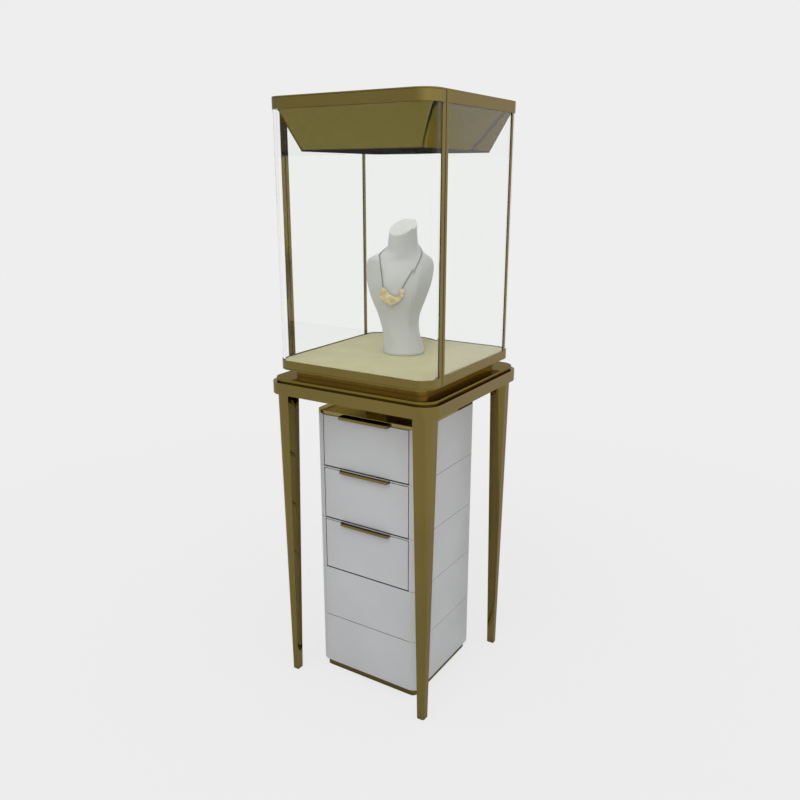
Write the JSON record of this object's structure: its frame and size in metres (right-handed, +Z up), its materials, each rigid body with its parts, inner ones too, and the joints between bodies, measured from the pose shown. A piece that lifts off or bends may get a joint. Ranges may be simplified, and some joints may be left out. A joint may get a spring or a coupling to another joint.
{
  "type": "retail display rack",
  "caption": "Square glass display case with a swinging bent glass front, on a gold table with tapered legs, over a white layered drawer cabinet.",
  "frame": {"origin": "on the floor, under the middle of the table", "axes": "+Z up, -Y towards the door and the drawer fronts, +X towards the hinge side"},
  "size_m": [0.45, 0.45, 1.4125],
  "materials": {
    "gold_steel": "stainless steel sheet, mirror polished, gold PVD",
    "gold_clad_board": "board clad in mirror polished gold PVD steel",
    "glass": "clear tempered glass, polished edges",
    "white_lacquer": "board with white satin lacquer",
    "board": "plain board",
    "pad_fabric": "pale olive velvet over foam",
    "black_plastic": "moulded, matt",
    "bust_resin": "cast resin, satin white",
    "chain_steel": "dark plated chain",
    "pendant_brass": "gilt discs",
    "lamp_housing": "cast housing, dark",
    "bright_steel": "zinc plated"
  },
  "bodies": {
    "frame": {"leg_front_left": "gold_steel", "leg_front_right": "gold_steel", "leg_rear_left": "gold_steel", "leg_rear_right": "gold_steel", "leg_plates": "bright_steel", "table_apron": "gold_steel", "table_core": "board", "ledge_plate": "gold_clad_board", "neck_block": "gold_clad_board", "rim_base_plate": "gold_steel", "deck_rim": "gold_steel", "deck_board": "board", "deck_pad": "pad_fabric", "post_front_left": "gold_steel", "post_front_right": "gold_steel", "post_rear_left": "gold_steel", "post_rear_right": "gold_steel", "side_glass_left": "glass", "side_glass_right": "glass", "rear_glass": "glass", "canopy_top_plate": "gold_steel", "canopy_band": "gold_steel", "canopy_hopper": "gold_steel", "light_panel": "black_plastic", "lamps": "lamp_housing", "lamp_driver": "black_plastic", "power_socket": "black_plastic", "pivot_pins": "bright_steel", "catch_keepers": "bright_steel", "cabinet_spacer": "gold_clad_board", "cabinet_top_plate": "gold_steel", "cabinet_layer_1": "white_lacquer", "cabinet_layer_2": "white_lacquer", "cabinet_layer_3": "white_lacquer", "cabinet_layer_4": "white_lacquer", "cabinet_layer_5": "white_lacquer", "cabinet_plinth": "gold_clad_board", "cabinet_runners": "bright_steel"},
    "door": {"door_top_rail": "gold_steel", "door_bottom_rail": "gold_steel", "door_stile_left": "gold_steel", "door_stile_right": "gold_steel", "door_glass": "glass", "door_magnets": "bright_steel"},
    "drawer_1": {"drawer_1_front": "white_lacquer", "drawer_1_box": "board", "drawer_1_pull": "gold_steel", "drawer_1_slides": "bright_steel"},
    "drawer_2": {"drawer_2_front": "white_lacquer", "drawer_2_box": "board", "drawer_2_pull": "gold_steel", "drawer_2_slides": "bright_steel"},
    "drawer_3": {"drawer_3_front": "white_lacquer", "drawer_3_box": "board", "drawer_3_pull": "gold_steel", "drawer_3_slides": "bright_steel"},
    "bust": {"bust_form": "bust_resin", "necklace_chain": "chain_steel", "necklace_pendant": "pendant_brass"}
  },
  "joints": [
    {"name": "door_hinge", "type": "hinge", "parent": "frame", "child": "door", "pos_m": [0.20225, -0.1566, 1.1], "axis": [0, 0, 1], "range_deg": [0, 100]},
    {"name": "drawer_1_slide", "type": "slide", "parent": "frame", "child": "drawer_1", "axis": [0, -1, 0], "range_m": [0, 0.18]},
    {"name": "drawer_2_slide", "type": "slide", "parent": "frame", "child": "drawer_2", "axis": [0, -1, 0], "range_m": [0, 0.18]},
    {"name": "drawer_3_slide", "type": "slide", "parent": "frame", "child": "drawer_3", "axis": [0, -1, 0], "range_m": [0, 0.18]},
    {"name": "bust_lift", "type": "slide", "parent": "frame", "child": "bust", "axis": [0, 0, 1], "range_m": [0, 0.11]}
  ]
}
